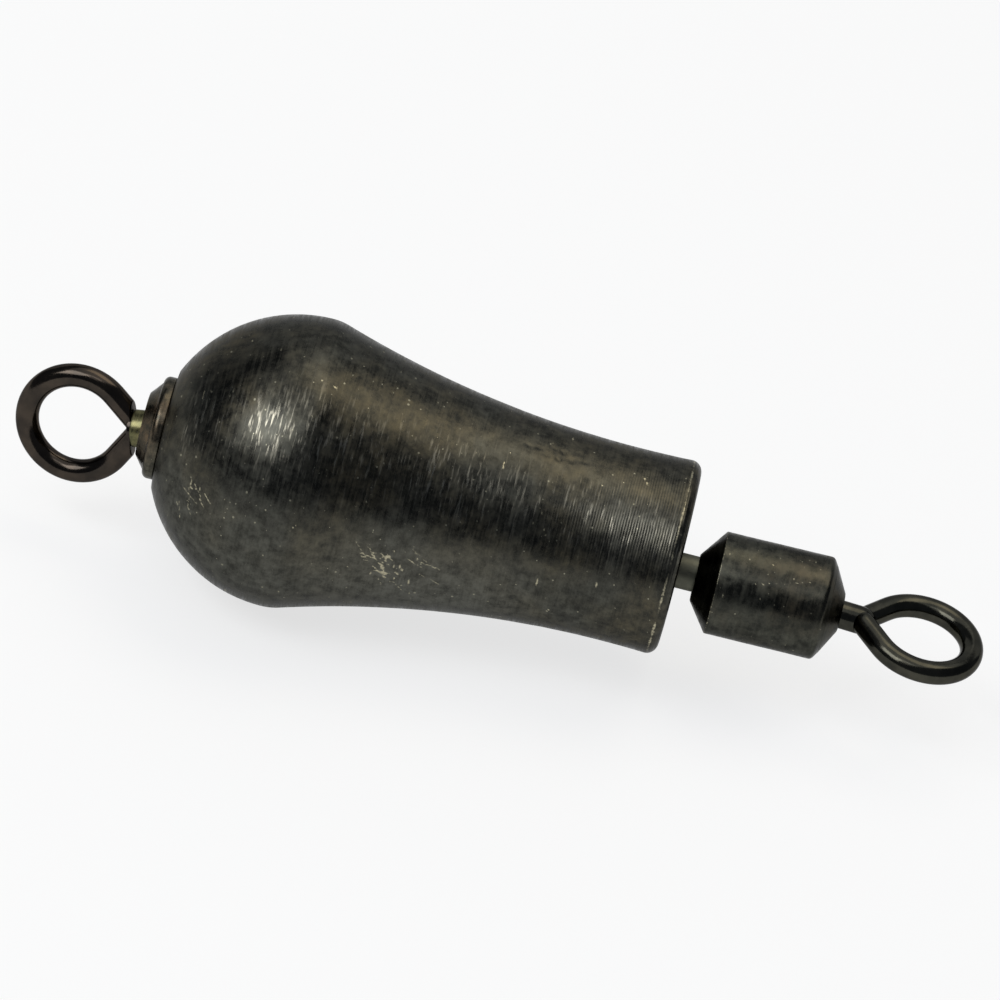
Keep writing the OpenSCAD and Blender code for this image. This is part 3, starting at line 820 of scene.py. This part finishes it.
def coat_colour(tree, noises, dark, mid, warm):
    """Two outputs: the colour, and the clouds in it. The stains mix mid with warm, and the clouds,
    which are the mottle with more contrast, mix that with dark. Where the mesh asks for it, the
    coat is painted paler: a painted reflection on the body's lower front. Rings and
    mottle together then lighten or darken the whole by up to a third."""
    warmth = add(tree, "ShaderNodeMapRange", {0: noises["stain"], 1: 0.4, 2: 0.62})
    cloud = add(tree, "ShaderNodeMapRange", {0: noises["mottle"], 1: 0.34, 2: 0.64})
    coat = add(tree, "ShaderNodeMix", {0: warmth.outputs[0], 6: linear(mid), 7: linear(warm)},
               data_type="RGBA")
    coat = add(tree, "ShaderNodeMix", {0: cloud.outputs[0], 6: linear(dark), 7: coat.outputs[2]},
               data_type="RGBA")
    # Painted reflection: the mesh's attribute makes the coat paler on the lower front.
    rubbed = add(tree, "ShaderNodeAttribute", attribute_name="rubbed")
    reflection_share = add(tree, "ShaderNodeMath", {0: rubbed.outputs["Fac"], 1: noises["mottle"]},
               operation="MULTIPLY")
    reflection_share = add(tree, "ShaderNodeMapRange", {0: reflection_share.outputs[0], 1: 0.1, 2: 0.6})
    coat = add(tree, "ShaderNodeMix",
               {0: reflection_share.outputs[0], 6: coat.outputs[2], 7: linear(REFLECTION_PALE_COAT)}, data_type="RGBA")
    dust = add(tree, "ShaderNodeMath", {0: noises["rings"], 1: 0.45, 2: noises["mottle"]},
               operation="MULTIPLY_ADD")
    shade = add(tree, "ShaderNodeMapRange",
                {0: dust.outputs[0], 1: 0.56, 2: 0.86, 3: 0.68, 4: 1.3})
    coat = add(tree, "ShaderNodeHueSaturation",
               {"Value": shade.outputs[0], "Color": coat.outputs[2]})
    return coat.outputs[0], cloud.outputs[0]


# %% [markdown]
# Where a lamp is mirrored, pale streaks across the axis are painted into the coat, a painted
# glint, and near the tail the even grooves of the turning tool add bumps and a share of that glint.
# Blender's wave repeats every 2 pi / (20 * scale).

# %% Painted glint streaks and tool grooves
FEED_MM = 0.14
STREAKS_PER_MM = (7.0, 0.9, 0.9)
GROOVES_FROM_X, GROOVES_FULL_X = 2.0, 6.5


def brushed_marks(tree, mm, feed):
    """Two outputs. Grooves are a wave FEED_MM long that grows from nothing to feed towards the
    tail. Streaks are a noise fine along X with a share of the grooves, all times the mesh's glint
    attribute: a painted glint on the band that faces the lamps."""
    stretched = add(tree, "ShaderNodeMapping", {"Vector": mm, "Scale": STREAKS_PER_MM})
    marks = add(tree, "ShaderNodeTexNoise", {"Vector": stretched.outputs[0], "Scale": 1.0,
                                             "Detail": 2.0, "Roughness": 0.6})
    glint_streak = add(tree, "ShaderNodeMapRange", {0: marks.outputs[0], 1: 0.55, 2: 0.7})
    wave = add(tree, "ShaderNodeTexWave", {"Vector": mm, "Scale": 2 * np.pi / (20 * FEED_MM),
                                           "Distortion": 1.2, "Detail": 2.0, "Detail Scale": 0.6})
    place = add(tree, "ShaderNodeSeparateXYZ", {0: mm})
    near_tail = add(tree, "ShaderNodeMapRange", {0: place.outputs[0], 1: GROOVES_FROM_X,
                                                 2: GROOVES_FULL_X, 4: feed})
    groove = add(tree, "ShaderNodeMath", {0: wave.outputs["Fac"], 1: near_tail.outputs[0]},
                 operation="MULTIPLY")
    glint_streak = add(tree, "ShaderNodeMath", {0: groove.outputs[0], 1: 0.3, 2: glint_streak.outputs[0]},
                 operation="MULTIPLY_ADD")
    # Painted glint: the mesh's band that faces the lamps.
    brushed = add(tree, "ShaderNodeAttribute", attribute_name="brushed")
    glint_streak = add(tree, "ShaderNodeMath", {0: glint_streak.outputs[0], 1: brushed.outputs["Fac"]},
                 operation="MULTIPLY", use_clamp=True)
    return glint_streak.outputs[0], groove.outputs[0]


# %% Pale specks
SPECKS_PER_MM = 2.6


def pale_specks(tree, mm, cloud, largest):
    """1 inside a speck and 0 outside it. Each cell of the pattern holds one speck, whose radius is
    the cell's random number times the cloud times the largest."""
    cells = add(tree, "ShaderNodeTexVoronoi", {"Vector": mm, "Scale": SPECKS_PER_MM})
    size = add(tree, "ShaderNodeSeparateColor", {0: cells.outputs["Color"]})
    size = add(tree, "ShaderNodeMath", {0: size.outputs[0], 1: cloud}, operation="MULTIPLY")
    reach = add(tree, "ShaderNodeMath", {0: size.outputs[0], 1: largest}, operation="MULTIPLY")
    speck = add(tree, "ShaderNodeMath", {0: cells.outputs["Distance"], 1: reach.outputs[0]},
                operation="LESS_THAN")
    return speck.outputs[0]


# %% Blackened turned brass
# The streak colour is a painted glint.
BARE_BRASS, GLINT_STREAK_COLOUR, SPECK_COLOUR = "#a9a38b", "#9a9688", "#8a8776"
GRAZING = "#c6c6c6"


def blackened_brass(name, dark, mid, warm, ring_mm=0.13, ring_depth=0.004, rough=0.34,
                    specks=0.16, feed=0.0):
    """Turned brass, chemically blackened: a dark semi-gloss coat with lathe rings, stains of three
    sizes, pale streaks that are a painted glint, a paler coat that is a painted reflection where the
    mesh asks for it, pale pinpoints, and bare brass where the wear attribute says so. Specks is
    the pinpoints' largest radius in cells, and feed is how far the tool grooves show."""
    material, tree, mm = new_material(name)
    noises = coat_noises(tree, mm, ring_mm)
    coat, cloud = coat_colour(tree, noises, dark, mid, warm)
    glint_streak, groove = brushed_marks(tree, mm, feed)
    speck = pale_specks(tree, mm, cloud, specks)
    # Painted glint: pale streaks mixed into the coat's colour.
    coat = add(tree, "ShaderNodeMix", {0: glint_streak, 6: coat, 7: linear(GLINT_STREAK_COLOUR)},
               data_type="RGBA")
    coat = add(tree, "ShaderNodeMix", {0: speck, 6: coat.outputs[2], 7: linear(SPECK_COLOUR)},
               data_type="RGBA")
    wear = add(tree, "ShaderNodeAttribute", attribute_name="wear")
    ragged = add(tree, "ShaderNodeMath", {0: wear.outputs["Fac"], 1: noises["grain"]},
                 operation="MULTIPLY")
    worn = add(tree, "ShaderNodeMapRange", {0: ragged.outputs[0], 1: 0.3, 2: 0.5})
    colour = add(tree, "ShaderNodeMix",
                 {0: worn.outputs[0], 6: coat.outputs[2], 7: linear(BARE_BRASS)}, data_type="RGBA")
    uneven = add(tree, "ShaderNodeMath", {0: noises["mottle"], 1: noises["rings"]})
    gloss = add(tree, "ShaderNodeMapRange", {0: uneven.outputs[0], 1: 0.7, 2: 1.3,
                                             3: rough - 0.13, 4: rough + 0.15})
    gloss = add(tree, "ShaderNodeMath", {0: glint_streak, 1: -0.12, 2: gloss.outputs[0]},
                operation="MULTIPLY_ADD")
    height = add(tree, "ShaderNodeMath", {0: noises["grain"], 1: 0.14, 2: noises["rings"]},
                 operation="MULTIPLY_ADD")
    height = add(tree, "ShaderNodeMath", {0: groove, 1: 1.6, 2: height.outputs[0]},
                 operation="MULTIPLY_ADD")
    bump = add(tree, "ShaderNodeBump", {"Height": height.outputs[0], "Distance": ring_depth * MM,
                                        "Strength": 1.0})
    shader = add(tree, "ShaderNodeBsdfPrincipled", {
        "Base Color": colour.outputs[2], "Metallic": 1.0, "Roughness": gloss.outputs[0],
        "Specular Tint": linear(GRAZING), "Normal": bump.outputs[0]})
    add(tree, "ShaderNodeOutputMaterial", {0: shader.outputs[0]})
    return material


# %% The finish of each brass piece
body_finish = blackened_brass("blackened_turned_brass", "#383834", "#464640", "#4a463a", rough=0.31,
                               specks=0.22, feed=1.0)
barrel_finish = blackened_brass("blackened_rolled_brass", "#343531", "#43433c", "#443f35",
                                ring_mm=0.2, ring_depth=0.003, rough=0.3)
collar_finish = blackened_brass("blackened_collar_brass", "#3b3b35", "#57554b", "#5a4e3f",
                                ring_depth=0.002, rough=0.24)
bush_finish = blackened_brass("blackened_bush_brass", "#363631", "#47463e", "#4b4538")
ring_finish = blackened_brass("half_bare_ring_brass", "#55553f", "#6b6a4a", "#6c6145", rough=0.3,
                              ring_depth=0.001)
for piece, finish in ((body, body_finish), (barrel, barrel_finish), (collar, collar_finish),
                      (bush, bush_finish), (loose_ring, ring_finish)):
    piece.data.materials.append(finish)

# %% [markdown]
# The eyes are hard drawn steel wire with a smooth black oxide. It is glossier than the turned
# brass, so lamps show in it as small white marks, and its tint wanders from brown to olive.

# %% Black oxide wire and dull stem steel
def oxide_steel(name, dark, light, rough, grain_depth):
    """Drawn steel, oxidised: a smooth dark coat with slow changes of tint and faint draw marks."""
    material, tree, mm = new_material(name)
    tint = add(tree, "ShaderNodeTexNoise", {"Vector": mm, "Scale": 0.7, "Detail": 4.0,
                                            "Roughness": 0.6})
    grain = add(tree, "ShaderNodeTexNoise", {"Vector": mm, "Scale": 5.0, "Detail": 4.0,
                                             "Roughness": 0.65})
    share = add(tree, "ShaderNodeMapRange", {0: tint.outputs[0], 1: 0.38, 2: 0.64})
    colour = add(tree, "ShaderNodeMix", {0: share.outputs[0], 6: linear(dark), 7: linear(light)},
                 data_type="RGBA")
    gloss = add(tree, "ShaderNodeMapRange", {0: grain.outputs[0], 1: 0.3, 2: 0.7,
                                             3: rough - 0.04, 4: rough + 0.06})
    bump = add(tree, "ShaderNodeBump", {"Height": grain.outputs[0], "Distance": grain_depth * MM,
                                        "Strength": 1.0})
    shader = add(tree, "ShaderNodeBsdfPrincipled", {
        "Base Color": colour.outputs[2], "Metallic": 1.0, "Roughness": gloss.outputs[0],
        "Specular Tint": linear(GRAZING), "Normal": bump.outputs[0]})
    add(tree, "ShaderNodeOutputMaterial", {0: shader.outputs[0]})
    return material


line_eye.data.materials.append(oxide_steel("brown_oxide_wire", "#332f2b", "#443d36", 0.14, 0.002))
leader_eye.data.materials.append(oxide_steel("olive_oxide_wire", "#33332e", "#44433b", 0.15, 0.003))
stem.data.materials.append(oxide_steel("dull_stem_steel", "#55564c", "#6a6a5e", 0.5, 0.004))
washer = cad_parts["thrust_washer"]
washer.data.materials.clear()
washer.data.materials.append(oxide_steel("stamped_washer_steel", "#9a9a94", "#b4b4ae", 0.35, 0.002))

# %% [markdown]
# ## Table and light
#
# The sinker lies on white board. Five lamps light it: a warm one overhead and behind, a wide
# ceiling, a small strip over the front, a bright window at the front left, whose reflection is
# the patch on the ball, and a pale wall behind. The room on the camera's side is dim, and that
# dimness is what draws the black band along the middle of the body. The board's white is written
# as a colour seen by the camera and by reflections, darker in reflections of its front part, and
# a share of plain diffuse white keeps the soft shadow.

# %% Table
TABLE = 3.0
FRONT_EDGE, BACK_EDGE, FRONT_SHADE, BACK_SHADE = -0.12, -0.02, 0.1, 0.84
GLOW_SHARE = 0.72
corners = [(-TABLE, -TABLE, 0), (TABLE, -TABLE, 0), (TABLE, TABLE, 0), (-TABLE, TABLE, 0)]
sheet = bpy.data.meshes.new("table")
sheet.from_pydata(corners, [], [(0, 1, 2, 3)])
table = bpy.data.objects.new("table", sheet)
bpy.context.scene.collection.objects.link(table)

# %% White paint of the board
paint = bpy.data.materials.new("white_board")
paint.use_nodes = True
tree = paint.node_tree
tree.nodes.clear()
path_of = add(tree, "ShaderNodeLightPath")
spot = add(tree, "ShaderNodeTexCoord")
spot = add(tree, "ShaderNodeSeparateXYZ", {0: spot.outputs["Object"]})
front = add(tree, "ShaderNodeMapRange", {0: spot.outputs[1], 1: FRONT_EDGE, 2: BACK_EDGE,
                                         3: FRONT_SHADE, 4: BACK_SHADE})
mirrored = add(tree, "ShaderNodeMath", {0: path_of.outputs["Is Glossy Ray"], 1: front.outputs[0]},
               operation="MULTIPLY")
seen = add(tree, "ShaderNodeMath", {0: path_of.outputs["Is Camera Ray"], 1: mirrored.outputs[0]},
           operation="MAXIMUM")
seen = add(tree, "ShaderNodeMath", {0: seen.outputs[0], 1: path_of.outputs["Is Transmission Ray"]},
           operation="MAXIMUM")
share = add(tree, "ShaderNodeMath", {0: seen.outputs[0], 1: GLOW_SHARE}, operation="MULTIPLY")
matt = add(tree, "ShaderNodeBsdfDiffuse", {"Color": linear("#f8fafc")})
white = add(tree, "ShaderNodeEmission", {"Color": linear("#ffffff"), "Strength": 1.0})
both = add(tree, "ShaderNodeMixShader", {0: share.outputs[0], 1: matt.outputs[0],
                                         2: white.outputs[0]})
add(tree, "ShaderNodeOutputMaterial", {0: both.outputs[0]})
table.data.materials.append(paint)

# %% Lamps
WARM_WHITE, ROOM_GREY = "#fff0d2", "#585d66"


def lamp(name, place_at, aim, size, brightness, colour="#ffffff"):
    """A rectangular soft lamp at a place, facing aim, all in metres. Brightness is what a mirror
    would show, so the power is that times pi times the area."""
    light = bpy.data.lights.new(name, "AREA")
    light.shape = "RECTANGLE"
    light.size, light.size_y = size
    light.energy = brightness * np.pi * size[0] * size[1]
    light.color = linear(colour)[:3]
    thing = bpy.data.objects.new(name, light)
    bpy.context.scene.collection.objects.link(thing)
    away = Vector(place_at) - Vector(aim)
    thing.matrix_world = away.to_track_quat("Z", "Y").to_matrix().to_4x4()
    thing.matrix_world.translation = Vector(place_at)
    print(f"{name}: {light.energy:.2f} W")


lamp("overhead", (0.13, 0.21, 0.7), (0, 0, 0), (0.54, 0.36), 1.55, WARM_WHITE)
lamp("ceiling", (-0.05, 0.03, 0.72), (0, 0, 0), (1.5, 0.76), 0.80)
lamp("front_strip", (-0.06, -0.33, 0.66), (0, 0, 0), (0.26, 0.12), 1.6)
lamp("window", (-0.32, -0.285, 0.46), (0, 0, 0.01), (0.36, 0.29), 4.9)
lamp("pale_wall", (0, 1.3, 0.5), (0, 0, 0), (3.0, 1.0), 0.5)

world = bpy.data.worlds.new("dim_room")
bpy.context.scene.world = world
world.use_nodes = True
world.node_tree.nodes["Background"].inputs["Color"].default_value = linear(ROOM_GREY)
world.node_tree.nodes["Background"].inputs["Strength"].default_value = 1.0
bpy.context.scene.view_settings.view_transform = "Standard"
